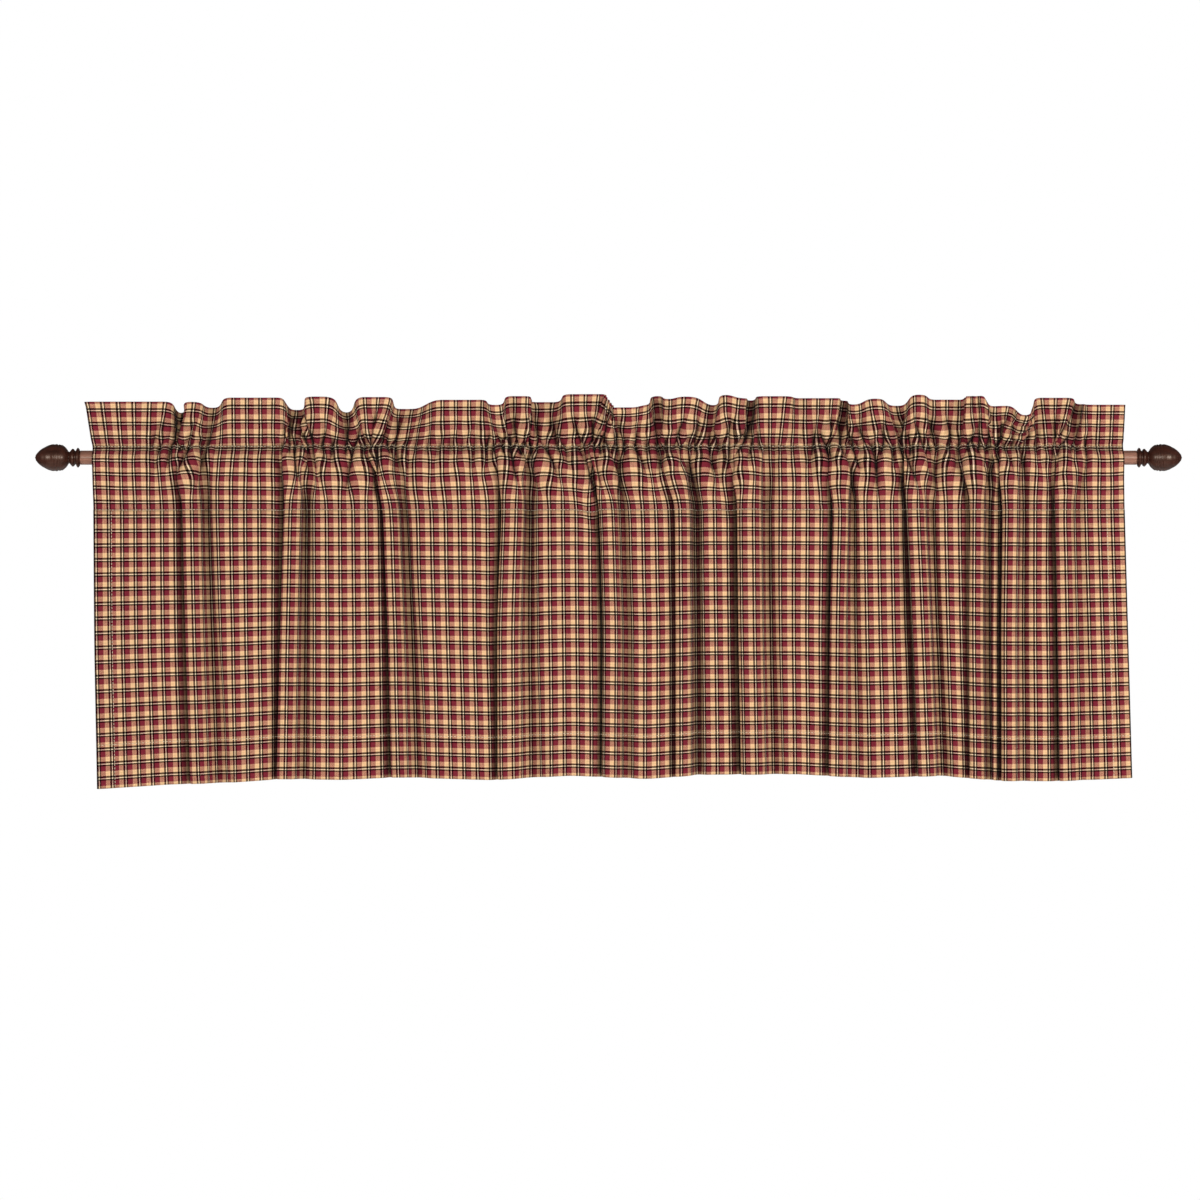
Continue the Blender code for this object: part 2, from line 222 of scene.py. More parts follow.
# Soft troughs and ridges in the cloth, each along a line from its top to its foot.
# rise: how far the ridge stands out, or the trough goes in where it is below zero.
# sag: how far the cloth's threads dip along it.
Crease = namedtuple("Crease", "top_x top_z foot_x foot_z half_width rise sag")
CREASES = (
    Crease(-40, 5, -12, -75, 7, -5, 5),
    Crease(-12, -75, -15, -225, 6, -2, 0),
    Crease(-426, -15, -400, -200, 7, -3, 0),
    Crease(-345, -15, -352, -150, 6, -3, 1),
    Crease(-250, -100, -256, -230, 10, -3, 0),
    Crease(-216, -75, -205, -225, 8, -3, 0),
    Crease(-128, -45, -125, -195, 6, -3, 1),
    Crease(-83, -25, -78, -195, 6, -4, 1),
    Crease(94, -25, 94, -105, 5, -4, 1),
    Crease(104, -13, 103, -165, 4, 2, 0),
    Crease(128, -26, 128, -60, 5, -4, 2),
    Crease(166, -22, 165, -50, 5, -4, 2),
    Crease(229, -22, 229, -50, 5, -4, 2),
    Crease(312, -75, 314, -195, 6, -3, 0),
    Crease(357, -95, 358, -195, 8, -3, 0),
    Crease(408, -22, 410, -105, 6, -3, 1),
    Crease(470, -56, 456, -195, 7, -3, 0),
)

# The acorn finial's rings, neck, beads and grooves, out from the rod's end.
Station = namedtuple("Station", "out radius")
FINIAL_STATIONS = (
    Station(1.2, 9.5),
    Station(2.5, 10.5),
    Station(3.7, 9.4),
    Station(4.5, 7.3),
    Station(5.5, 7.3),
    Station(6.7, 8.9),
    Station(8.0, 9.5),
    Station(9.6, 8.2),
    Station(11.7, 6.1),
    Station(12.9, 7.2),
    Station(14.3, 9.4),
    Station(16.2, 11.4),
    Station(18.0, 12.8),
    Station(19.6, 13.6),
    Station(20.2, 13.25),
    Station(20.8, 13.6),
    Station(21.7, 14.0),
    Station(22.6, 13.7),
    Station(23.1, 13.45),
    Station(23.7, 13.9),
    Station(24.9, 14.4),
    Station(26.2, 14.1),
    Station(26.8, 13.75),
    Station(27.4, 14.2),
    Station(28.9, 14.2),
    Station(31.7, 13.6),
    Station(34.6, 12.6),
    Station(37.4, 11.1),
    Station(40.2, 9.6),
    Station(43.1, 7.4),
    Station(45.4, 5.0),
    Station(47.0, 2.9),
)

# Waves of the gathers along the heading's stitching, each round a middle this far below it.
# lean: how far a ridge's sides lean out over the troughs beside it.
Gathers = namedtuple("Gathers", "wavelength middle reach depth lean")
GATHERS = (
    Gathers(12.0, 1.5, 8.5, 8.0, 2.2),
    Gathers(21.0, 14.0, 13.0, 7.5, 3.6),
    Gathers(35.0, 30.0, 19.0, 6.5, 5.2),
    Gathers(13.0, -7.0, 8.0, 5.0, 2.2),
    Gathers(22.0, -17.0, 13.0, 7.0, 3.6),
)

# How closely the cloth is gathered along the rod: 1 where it's full, and near 0 where it lies flat.
Gathered = namedtuple("Gathered", "x share")
GATHERED = (
    Gathered(-555, 0.05),
    Gathered(-490, 0.10),
    Gathered(-478, 0.60),
    Gathered(-450, 0.90),
    Gathered(-425, 0.60),
    Gathered(-412, 0.10),
    Gathered(-350, 0.15),
    Gathered(-338, 0.90),
    Gathered(-300, 0.80),
    Gathered(-235, 1.00),
    Gathered(-215, 0.60),
    Gathered(-185, 0.30),
    Gathered(-140, 0.40),
    Gathered(-122, 1.00),
    Gathered(-75, 0.90),
    Gathered(-50, 0.60),
    Gathered(-25, 1.00),
    Gathered(60, 0.90),
    Gathered(135, 1.00),
    Gathered(150, 0.50),
    Gathered(160, 0.15),
    Gathered(210, 0.20),
    Gathered(222, 1.00),
    Gathered(330, 0.90),
    Gathered(380, 1.00),
    Gathered(415, 0.70),
    Gathered(430, 0.35),
    Gathered(470, 0.50),
    Gathered(485, 1.00),
    Gathered(500, 0.70),
    Gathered(512, 0.15),
    Gathered(546, 0.10),
)

# The yarns of one repeat, and how much light the weave keeps where they show: black yarns shade
# the yarns that they cross.
CheckStripe = namedtuple("CheckStripe", "colour yarns light")
CHECK = (
    CheckStripe("black", 4, 0.66),
    CheckStripe("cream", 2, 1.00),
    CheckStripe("black", 3, 0.60),
    CheckStripe("burgundy", 10, 0.97),
    CheckStripe("tan", 4, 1.00),
    CheckStripe("olive", 1, 0.98),
    CheckStripe("tan", 4, 1.00),
)
YARNS_IN_REPEAT = sum(stripe.yarns for stripe in CHECK)
EYE_GAMMA = 2.2

# Number of the warp yarn at the cloth's left edge, and of the weft yarn at the pocket's stitching.
# Both leave the numbers above zero all over the cloth.
FIRST_WARP = 1008.0
FIRST_WEFT = 1000.0

# How far the cloth round a recess reaches to darken it, in metres, and how strongly: painted shade put into
# the cloth's colour.
PAINTED_SHADE_REACH = 0.013
PAINTED_SHADE_STRENGTH = 0.95
PAINTED_SHADE_RAYS = 6

# Flat cloth between the columns and between the rows of points, in millimetres.
COLUMN_STEP = 2.4
GATHER_STEP = 1.45
HEADING_ROW = 2.6
POCKET_ROW = 2.6
PANEL_ROW = 5.6

# The settling: its rounds, what each keeps of a bend or a stretch, and how firmly each part of the
# cloth keeps to where it should hang. The heading's upper edge is rounded off before it.
SETTLING_ROUNDS = 140
ROUNDING_ROUNDS = 10
SHORT_BEND, LONG_BEND, DOWN_BEND = 0.42, 0.06, 0.20
BIAS_FIRMNESS, WARP_FIRMNESS, WEFT_FIRMNESS = 0.12, 0.8, 0.9
Hold = namedtuple("Hold", "panel heading top stitch pocket hem")
HOLD = Hold(0.030, 0.05, 0.30, 0.20, 0.06, 0.12)

# Loose cloth, in millimetres: how far flat stretches swell out, how far the pocket's threads sag
# between its seams, and how far the seams pucker.
PANEL_SWELL = 1.6
POCKET_SAG = 3.2
POCKET_PUCKER, POCKET_PUCKER_REACH = 0.45, 7.0
HEM_PUCKER, HEM_PUCKER_REACH = 0.30, 6.0
THREAD_DRIFT = 0.8

# Gaps, in millimetres: between the heading's layers and the pocket's at a seam, how far the
# heading's layers part above it, and between the layers of a hem.
SEAM_GAP = 1.1
HEADING_FULLNESS = 2.6
HEM_GAP = 0.3
ROD_GAP = 0.8

PROFILE_SIDES = 64

# The photo's frame at the cloth, in metres, and the lights around it.
FRAME_WIDTH = 1.2696
FRAME_X, FRAME_Z = -0.009, -0.1506
LENS_MM, SENSOR_MM = 120.0, 36.0
ROOM_LIGHT = 0.10
Lamp = namedtuple("Lamp", "name place power size")
LAMPS = (
    Lamp("key_light", (0.2, -3.3, 0.25), 65.0, 0.6),
    Lamp("left_light", (-2.7, -2.1, 0.12), 42.0, 0.7),
    Lamp("right_light", (2.7, -2.1, 0.12), 56.0, 0.7),
    Lamp("rear_light", (-0.8, 3.1, 1.3), 90.0, 1.2),
)


class ValanceSizes(bpy.types.PropertyGroup):
    """Sizes of the valance that a user would change."""

    cloth_thickness: bpy.props.FloatProperty(
        name="Cloth thickness", description="Thickness of one layer", default=0.0005, unit="LENGTH"
    )
    check_width: bpy.props.FloatProperty(
        name="Check width", description="Width of one repeat", default=0.0141, unit="LENGTH"
    )
    check_height: bpy.props.FloatProperty(
        name="Check height", description="Height of one repeat", default=0.0148, unit="LENGTH"
    )
    side_hem: bpy.props.FloatProperty(
        name="Side hem", description="Width turned back at each side", default=0.021, unit="LENGTH"
    )
    stitch_pitch: bpy.props.FloatProperty(
        name="Stitch pitch", description="From stitch to stitch", default=0.0036, unit="LENGTH"
    )
    stitch_length: bpy.props.FloatProperty(
        name="Stitch length", description="Thread seen of a stitch", default=0.0022, unit="LENGTH"
    )
    thread_radius: bpy.props.FloatProperty(
        name="Thread radius", description="Half the thread's width", default=0.00027, unit="LENGTH"
    )


class ValanceColours(bpy.types.PropertyGroup):
    """Colours of the yarns, the thread and the wood."""

    burgundy: bpy.props.FloatVectorProperty(
        name="Burgundy", description="Burgundy yarn", subtype="COLOR", default=(0.215, 0.022, 0.036)
    )
    tan: bpy.props.FloatVectorProperty(
        name="Tan", description="Tan yarn", subtype="COLOR", default=(0.79, 0.490, 0.262)
    )
    olive: bpy.props.FloatVectorProperty(
        name="Olive", description="Olive tan yarn", subtype="COLOR", default=(0.70, 0.48, 0.22)
    )
    cream: bpy.props.FloatVectorProperty(
        name="Cream", description="Cream yarn", subtype="COLOR", default=(0.98, 0.80, 0.55)
    )
    black: bpy.props.FloatVectorProperty(
        name="Black", description="Black yarn", subtype="COLOR", default=(0.035, 0.003, 0.002)
    )
    thread: bpy.props.FloatVectorProperty(
        name="Thread", description="Sewing thread", subtype="COLOR", default=(0.76, 0.64, 0.45)
    )
    rod: bpy.props.FloatVectorProperty(
        name="Rod", description="Stain on the rod", subtype="COLOR", default=(0.26, 0.120, 0.082)
    )
    finial: bpy.props.FloatVectorProperty(
        name="Finial", description="Stain on the finials", subtype="COLOR", default=(0.036, 0.010, 0.006)
    )


def monotone_curve(knots, values, places):
    """Smooth curve through knots that never overshoots them. values may have more columns."""
    knots = np.asarray(knots, float)
    values = np.asarray(values, float)
    shape = (-1,) + (1,) * (values.ndim - 1)
    steps = np.diff(knots).reshape(shape)
    slopes = np.diff(values, axis=0) / steps
    left, right = slopes[:-1], slopes[1:]
    weight_left = 2.0 * steps[1:] + steps[:-1]
    weight_right = steps[1:] + 2.0 * steps[:-1]
    safe_left = np.where(left == 0.0, 1.0, left)
    safe_right = np.where(right == 0.0, 1.0, right)
    shares = np.where(left * right > 0.0, weight_left / safe_left + weight_right / safe_right, np.inf)
    inner = (weight_left + weight_right) / shares
    tangents = np.concatenate([slopes[:1], inner, slopes[-1:]])
    span = np.clip(np.searchsorted(knots, places, side="right") - 1, 0, len(knots) - 2)
    width = steps[span]
    t = ((places - knots[span]) / np.diff(knots)[span]).reshape(shape)
    start, end = values[span], values[span + 1]
    pull_start, pull_end = tangents[span] * width, tangents[span + 1] * width
    return (
        start * (2 * t ** 3 - 3 * t ** 2 + 1)
        + pull_start * (t ** 3 - 2 * t ** 2 + t)
        + end * (3 * t ** 2 - 2 * t ** 3)
        + pull_end * (t ** 3 - t ** 2)
    )


def along_track(height, track):
    """Where a track that is given at the four track heights runs at this height."""
    return np.interp(-height, [-known for known in TRACK_HEIGHTS], track)


def level_knots(level):
    """The knots of one level's line across the cloth, as an array of x and y."""
    knots = [(along_track(level.height, LEFT_EDGE), level.panel_y)]
    for fold in FOLDS:
        track = (fold.at_heading, fold.at_pocket, fold.at_middle, fold.at_hem)
        crown = along_track(level.height, track)
        for turn in TURNS:
            depth, spread = fold.left_depth, fold.left_spread
            if turn.offset > 0.0:
                depth, spread = fold.right_depth, fold.right_spread
            widening = max(abs(turn.offset) - 1.0, 0.0) / (EDGE_OFFSET - 1.0) * spread * level.spread
            offset = turn.offset * fold.half_width * level.swell
            y = level.panel_y - turn.front * fold.rise * level.front + turn.back * depth * level.back
            knots.append((crown + offset + math.copysign(widening, turn.offset), y))
    knots.append((along_track(level.height, RIGHT_EDGE), level.panel_y))
    return np.array(knots)


def smooth_line(knots, per_span=10):
    """A fine smooth line through knots, its length at each point, and its length at each knot."""
    steps = np.hypot(*np.diff(knots[:, :2], axis=0).T)
    chord = np.concatenate([[0.0], np.cumsum(steps)])
    places = np.unique(np.concatenate([np.linspace(a, b, per_span) for a, b in zip(chord, chord[1:])]))
    line = monotone_curve(chord, knots, places)
    length = np.concatenate([[0.0], np.cumsum(np.hypot(*np.diff(line[:, :2], axis=0).T))])
    return line, length, np.interp(chord, places, length)


def crown_knots():
    """Which knots of a level are its two edges and the crowns of its folds."""
    crowns = [1 + index * len(TURNS) + CROWN_TURN for index in range(len(FOLDS))]
    return [0, *crowns, len(FOLDS) * len(TURNS) + 1]


def fold_widths():
    """How much flat cloth lies from each crown to the next, measured where the folds hang open."""
    _, _, at_knots = smooth_line(level_knots(OPEN_LEVEL))
    return np.diff(at_knots[crown_knots()])


CROWN_SPANS = fold_widths()
CROWNS_ACROSS = np.concatenate([[0.0], np.cumsum(CROWN_SPANS)])
CLOTH_WIDTH = CROWNS_ACROSS[-1]


def share_cloth(lengths, loose, total):
    """Shares out the flat cloth over spans: tight spans take their length, loose ones the rest."""
    tight_length = lengths[~loose].sum()
    loose_length = lengths[loose].sum()
    if total < tight_length + loose_length:
        return lengths * total / (tight_length + loose_length)
    return np.where(loose, lengths * (total - tight_length) / loose_length, lengths)


def level_line(level, across):
    """One level's line at each place across the flat cloth: the gathers take the spare cloth."""
    knots = level_knots(level)
    line, length, at_knots = smooth_line(knots)
    spans = np.diff(at_knots)
    loose = np.ones(len(spans), bool)
    loose[0::len(TURNS)] = False
    crowns = crown_knots()
    flat = np.concatenate([
        share_cloth(spans[a:b], loose[a:b], total) for a, b, total in zip(crowns, crowns[1:], CROWN_SPANS)
    ])
    flat_at_knots = np.concatenate([[0.0], np.cumsum(flat)])
    places = np.interp(across, flat_at_knots, at_knots)
    return np.stack([np.interp(places, length, line[:, k]) for k in (0, 1)], axis=1)


def panel_share(across):
    """For each place across the cloth, how far it is from one crown to the next, and its bow."""
    span = np.clip(np.searchsorted(CROWNS_ACROSS, across, side="right") - 1, 0, len(CROWN_SPANS) - 1)
    bows = np.array([FIRST_BOW] + [fold.next_bow for fold in FOLDS])
    return (across - CROWNS_ACROSS[span]) / CROWN_SPANS[span], bows[span]


def smooth_noise(places, wavelength, random):
    """A smooth random curve between -1 and 1 over places that run upwards."""
    count = int((places[-1] - places[0]) / wavelength) + 4
    knots = places[0] + (np.arange(count) - 1 + random.uniform(-0.3, 0.3, count)) * wavelength
    return monotone_curve(knots, random.uniform(-1.0, 1.0, count), places)


def gather_waves(across, wavelength, random):
    """Uneven gathers over the cloth: their ridges, and how far their sides lean over the troughs."""
    count = int((across[-1] - across[0]) / wavelength * 2.0) + 10
    knots = across[0] + (np.arange(count) - 5 + random.uniform(-0.3, 0.3, count)) * wavelength / 2.0
    phase = monotone_curve(knots, np.arange(count) * math.pi, across)
    depth = monotone_curve(knots, random.uniform(0.35, 1.0, count), across)
    return depth * np.cos(phase), depth * np.sin(phase)


Front = namedtuple("Front", "points normals across down stitch_row pocket_row")


def gather(front, random):
    """The heading and the pocket on finer columns, with the gathers that their stitching draws up."""
    across = spaced(0.0, CLOTH_WIDTH, GATHER_STEP)
    settled = front.points[:front.pocket_row + 1].swapaxes(0, 1)
    points = np.ascontiguousarray(monotone_curve(front.across, settled, across).swapaxes(0, 1))
    places_x = [place.x for place in GATHERED]
    room = np.interp(points[front.stitch_row, :, 0], places_x, [place.share for place in GATHERED])
    below = HEADING_STITCH - points[:, :, 2]
    slant = 0.4 * smooth_noise(across, 45.0, random)
    for wave in GATHERS:
        ridge, lean = gather_waves(across, wave.wavelength, random)
        places = across + slant * (below - wave.middle)
        size = room * np.exp(-((below - wave.middle) / wave.reach) ** 2)
        ridge = np.interp(places, across, ridge)
        lift = 0.22 * math.copysign(wave.depth, wave.middle)
        points[:, :, 0] += wave.lean * size * np.interp(places, across, lean)
        points[:, :, 1] -= wave.depth * size * ridge
        points[:, :, 2] += lift * size * ridge
    pocket_rows = slice(front.stitch_row, front.pocket_row + 1)
    points[pocket_rows] = clear_of_rod(points[pocket_rows], -1.0)
    rows = slice(0, front.pocket_row + 1)
    return Front(
        points, grid_normals(points), across, front.down[rows], front.stitch_row, front.pocket_row
    )


def ease(value):
    value = np.clip(value, 0.0, 1.0)
    return value * value * (3.0 - 2.0 * value)


def front_target(across, heights, random):
    """Where the front should hang, from the heading's stitching to the hem."""
    share, bow = panel_share(across)
    swell = PANEL_SWELL * bow * np.sin(np.pi * share)
    lines = np.array([level_line(level, across) for level in LEVELS])
    lines[:, :, 1] -= swell * np.array([level.front for level in LEVELS])[:, None]
    depths = -np.array([level.height for level in LEVELS])
    surface = monotone_curve(depths, lines, -heights)
    x, y = surface[:, :, 0], surface[:, :, 1]
    z = np.repeat(heights[:, None], len(across), axis=1)

    hem_x = [point.x for point in HEM_LINE]
    hem_drop = np.interp(x[-1], hem_x, [point.height for point in HEM_LINE]) - HEM_HEIGHT
    below_pocket = np.clip((POCKET_STITCH - heights) / (POCKET_STITCH - HEM_HEIGHT), 0.0, 1.0)
    in_pocket = np.clip((HEADING_STITCH - heights) / (HEADING_STITCH - POCKET_STITCH), 0.0, 1.0)
    z = z + hem_drop * below_pocket[:, None]
    unevenness = 0.65 + 0.35 * smooth_noise(across, 60.0, random)
    sag = POCKET_SAG * 4.0 * share * (1.0 - share) * unevenness
    z = z - np.sin(np.pi * in_pocket)[:, None] * sag
    for crease in CREASES:
        x, y, z = press_crease(x, y, z, crease)

    pucker = smooth_noise(across, 7.0, random)
    near_seam = np.exp(-np.abs(heights - POCKET_STITCH) / POCKET_PUCKER_REACH) * POCKET_PUCKER
    near_hem = np.exp(-np.abs(heights - HEM_STITCH) / HEM_PUCKER_REACH) * HEM_PUCKER
    y = y + pucker * (near_seam + near_hem)[:, None]
    drift = smooth_noise(across, 90.0, random)
    z = z + THREAD_DRIFT * drift * np.sin(np.pi * below_pocket)[:, None]
    return np.stack((x, y, z), axis=2)


def press_crease(x, y, z, crease):
    """Presses one soft trough or ridge into the cloth."""
    run = crease.foot_z - crease.top_z
    t = (z - crease.top_z) / run
    line_x = crease.top_x + (crease.foot_x - crease.top_x) * np.clip(t, 0.0, 1.0)
    ends = ease(np.minimum(t + 0.2, 1.2 - t) / 0.35)
    inside = np.exp(-0.5 * ((x - line_x) / crease.half_width * 1.6) ** 2) * ends
    return x, y - crease.rise * inside, z - crease.sag * inside


def heading_target(stitch, across, shares, random):
    """Rows of the heading from its upper edge down to its stitching."""
    ends = [(side, ruffle.y, ruffle.height) for ruffle in RUFFLES for side in (ruffle.left, ruffle.right)]
    line, length, at_knots = smooth_line(np.array(ends, float))
    loose = np.ones(len(at_knots) - 1, bool)
    lobes = [index for index, ruffle in enumerate(RUFFLES) if ruffle.right - ruffle.left >= 19]
    loose[[2 * index for index in lobes]] = False
    stitch_x = np.maximum.accumulate(stitch[:, 0]) + np.arange(len(stitch)) * 1e-6
    knot_spans = np.diff(at_knots)
    anchors = [0] + [2 * index for index in lobes[1:-1]] + [len(at_knots) - 1]
    flat_at = [0.0]
    for index in lobes[1:-1]:
        middle = (RUFFLES[index].left + RUFFLES[index].right) / 2.0
        flat_at.append(np.interp(middle, stitch_x, across) - knot_spans[2 * index] / 2.0)
    flat_at.append(CLOTH_WIDTH)
    flat = np.concatenate([
        share_cloth(knot_spans[a:b], loose[a:b], end - start)
        for a, b, start, end in zip(anchors, anchors[1:], flat_at, flat_at[1:])
    ])
    places = np.interp(across, np.concatenate([[0.0], np.cumsum(flat)]), at_knots)
    top = np.stack([np.interp(places, length, line[:, k]) for k in range(3)], axis=1)
    for _ in range(ROUNDING_ROUNDS):
        soften(top, 1, 0.5)
    rows = [stitch + (top - stitch) * np.array([share ** 0.9, share ** 0.65, share]) for share in shares]
    return np.array(rows)[::-1]


def pull(first, second, rest, firmness):
    """Moves pairs of points towards the distance that they have on the flat cloth."""
    apart = second - first
    length = np.sqrt(np.einsum("ijk,ijk->ij", apart, apart))[:, :, None]
    shift = apart * (0.5 * firmness * (1.0 - rest / np.maximum(length, 1e-6)))
    first += shift
    second -= shift


def soften(points, reach, share):
    """Eases sharp bends along the first way of a grid, as the cloth's own stiffness does."""
    bend = (points[:-2 * reach] + points[2 * reach:]) / 2.0 - points[reach:-reach]
    points[reach:-reach] += 0.5 * share * bend
    points[:-2 * reach] -= 0.25 * share * bend
    points[2 * reach:] -= 0.25 * share * bend


def settle(points, across, down, hold, pocket_rows):
    """Lets the cloth take up its own length in both ways, while it keeps near where it should hang."""
    target = points.copy()
    step_across = across[1] - across[0]
    steps_down = np.abs(np.diff(down))[:, None, None]
    diagonals = np.hypot(step_across, steps_down)
    for _ in range(SETTLING_ROUNDS):
        points += hold * (target - points)
        soften(points.swapaxes(0, 1), 1, SHORT_BEND)
        soften(points.swapaxes(0, 1), 2, LONG_BEND)
        soften(points, 1, DOWN_BEND)
        pull(points[:-1, :-1], points[1:, 1:], diagonals, BIAS_FIRMNESS)
        pull(points[:-1, 1:], points[1:, :-1], diagonals, BIAS_FIRMNESS)
        for start in (0, 1):
            count = (len(down) - start) // 2
            upper, lower = points[start:start + 2 * count:2], points[start + 1:start + 2 * count:2]
            pull(upper, lower, steps_down[start::2][:count], WARP_FIRMNESS)
        for start in (0, 1):
            count = (len(across) - start) // 2
            left = points[:, start:start + 2 * count:2]
            right = points[:, start + 1:start + 2 * count:2]
            pull(left, right, step_across, WEFT_FIRMNESS)
        points[pocket_rows] = clear_of_rod(points[pocket_rows], -1.0)
    return points


def hang_front():
    """The settled front of the cloth, from the heading's upper edge to the hem."""
    random = np.random.default_rng(SEED)
    across = spaced(0.0, CLOTH_WIDTH, COLUMN_STEP)
    pocket = spaced(HEADING_STITCH, POCKET_STITCH, POCKET_ROW)
    panel = spaced(POCKET_STITCH, HEM_HEIGHT, PANEL_ROW)
    below = front_target(across, np.concatenate([pocket, panel[1:]]), random)
    shares = spaced(0.0, 1.0, HEADING_ROW / (RUFFLES[0].height - HEADING_STITCH))
    heading = heading_target(below[0], across, shares, random)
    points = np.concatenate([heading[:-1], below])
    stitch_row = len(shares) - 1
    pocket_row = stitch_row + len(pocket) - 1
    steps = np.median(np.linalg.norm(np.diff(points, axis=0), axis=2), axis=1)
    down = -np.concatenate([[0.0], np.cumsum(steps)])
    hold = np.full(len(points), HOLD.panel)
    hold[:stitch_row] = HOLD.heading
    hold[0] = HOLD.top
    hold[stitch_row] = HOLD.stitch
    hold[pocket_row] = HOLD.pocket
    hold[-1] = HOLD.hem
    pocket_rows = slice(stitch_row, pocket_row + 1)
    points = settle(points, across, down, hold[:, None, None], pocket_rows)
    front = Front(points, grid_normals(points), across, down - down[pocket_row], stitch_row, pocket_row)
    return front, gather(front, random)


def grid_normals(points):
    """Unit normals of a grid of points, on the side that faces into the room."""
    across = np.gradient(points, axis=1)
    down = np.gradient(points, axis=0)
    normals = np.cross(down, across)
    length = np.linalg.norm(normals, axis=2, keepdims=True)
    return normals / np.maximum(length, 1e-9)


def mesh_from_grid(name, points, across, down, material, thickness):
    """A sheet of cloth from a grid of points in millimetres, with its flat cloth as UV map."""
    rows, columns, _ = points.shape
    index = np.arange(rows * columns).reshape(rows, columns)
    faces = np.stack((index[:-1, :-1], index[1:, :-1], index[1:, 1:], index[:-1, 1:]), axis=-1)
    mesh = bpy.data.meshes.new(name)
    mesh.from_pydata((points.reshape(-1, 3) * MM).tolist(), [], faces.reshape(-1, 4).tolist())
    flat = np.stack(np.broadcast_arrays(across, down), axis=-1).reshape(-1, 2) * MM
    layer = mesh.uv_layers.new(name="cloth")
    corners = np.empty(len(mesh.loops), dtype=np.int32)
    mesh.loops.foreach_get("vertex_index", corners)
    layer.data.foreach_set("uv", flat[corners].astype(np.float32).ravel())
    mesh.shade_smooth()
    mesh.materials.append(material)
    piece = bpy.data.objects.new(name, mesh)
    bpy.context.scene.collection.objects.link(piece)
    select_only(piece)
    solidify = piece.modifiers.new("thickness", "SOLIDIFY")
    solidify.thickness = thickness
    solidify.offset = 0.0
    bpy.ops.object.modifier_apply(modifier=solidify.name)
    return piece


def select_none():
    for item in bpy.context.view_layer.objects:
        item.select_set(False)


def select_only(piece):
    select_none()
    piece.select_set(True)
    bpy.context.view_layer.objects.active = piece


def spaced(start, end, step):
    """Evenly spaced numbers from start to end, about a step apart."""
    count = max(2, int(round(abs(end - start) / step)) + 1)
    return np.linspace(start, end, count)


def clear_of_rod(points, side):
    """Keeps a layer of the pocket outside the rod. side is -1 in front of it and 1 behind."""
    reach = ROD_HIGH.z / MM + ROD_GAP
    y, z = points[:, :, 1], points[:, :, 2]
    near = np.sqrt(np.maximum(reach ** 2 - z ** 2, 0.0))
    close = np.abs(z) < reach
    points[:, :, 1] = np.where(close, side * np.maximum(side * y, near), y)
    return points


def fold_back(count, width):
    """Which column each column of the hemmed cloth lies on, and how many layers behind it."""
    left = np.arange(width, 0, -1)
    right = np.arange(count - 2, count - 2 - width, -1)
    columns = np.concatenate([left, np.arange(count), right])
    layers = np.concatenate([np.ones(width), np.zeros(count), np.ones(width)])
    return columns, layers


def make_panel(front, sizes, material):
    """The panel below the pocket, with its hem turned up and its sides turned back."""
    points = front.points[front.pocket_row:]
    normals = front.normals[front.pocket_row:]
    down = front.down[front.pocket_row:]
    across = front.across
    width = int(round(sizes.side_hem / MM / COLUMN_STEP))
    columns, side_layers = fold_back(len(across), width)
    flat = np.concatenate([-across[width:0:-1], across, 2.0 * across[-1] - across[-2:-2 - width:-1]])
    hem_first = int(np.argmin(np.abs(points[:, :, 2].mean(axis=1) - HEM_STITCH)))
    rows = np.concatenate([np.arange(len(points)), np.arange(len(points) - 1, hem_first - 1, -1)])
    turned = np.arange(len(rows)) >= len(points)
    flat_down = np.where(turned, 2.0 * down[-1] - down[rows], down[rows])
    flat_down[len(points)] -= 1.0
    near_side = np.minimum(columns, len(across) - 1 - columns) <= width
    hem_layers = np.where(side_layers > 0, 2.0, np.where(near_side, 3.0, 1.0))
    layers = np.where(turned[:, None], hem_layers, side_layers)
    gap = sizes.cloth_thickness / MM + HEM_GAP
    sheet = points[rows][:, columns] - normals[rows][:, columns] * (layers * gap)[:, :, None]
    sheet[len(points), :, 2] -= 0.4
    return mesh_from_grid(
        "valance_panel", sheet, flat[None, :], flat_down[:, None], material, sizes.cloth_thickness
    )


def make_heading(front, sizes, material):
    """The double heading above its stitching: up the front and down the back."""
    outside = front.points[:front.stitch_row + 1]
    share = np.linspace(1.0, 0.0, len(outside))
    gap = SEAM_GAP + HEADING_FULLNESS * np.sin(np.pi * share) ** 0.7
    behind = outside.copy()
    behind[:, :, 1] += gap[:, None]
    crest = (outside[:1] + behind[:1]) / 2.0 + (0.0, 0.0, 0.5)
    sheet = np.concatenate([behind[::-1], crest, outside])
    down = front.down[:front.stitch_row + 1]
    flat_down = np.concatenate([2.0 * down[0] - down[::-1], [down[0] + 0.2], down])
    return mesh_from_grid(
        "valance_heading", sheet, front.across[None, :], flat_down[:, None], material, sizes.cloth_thickness
    )


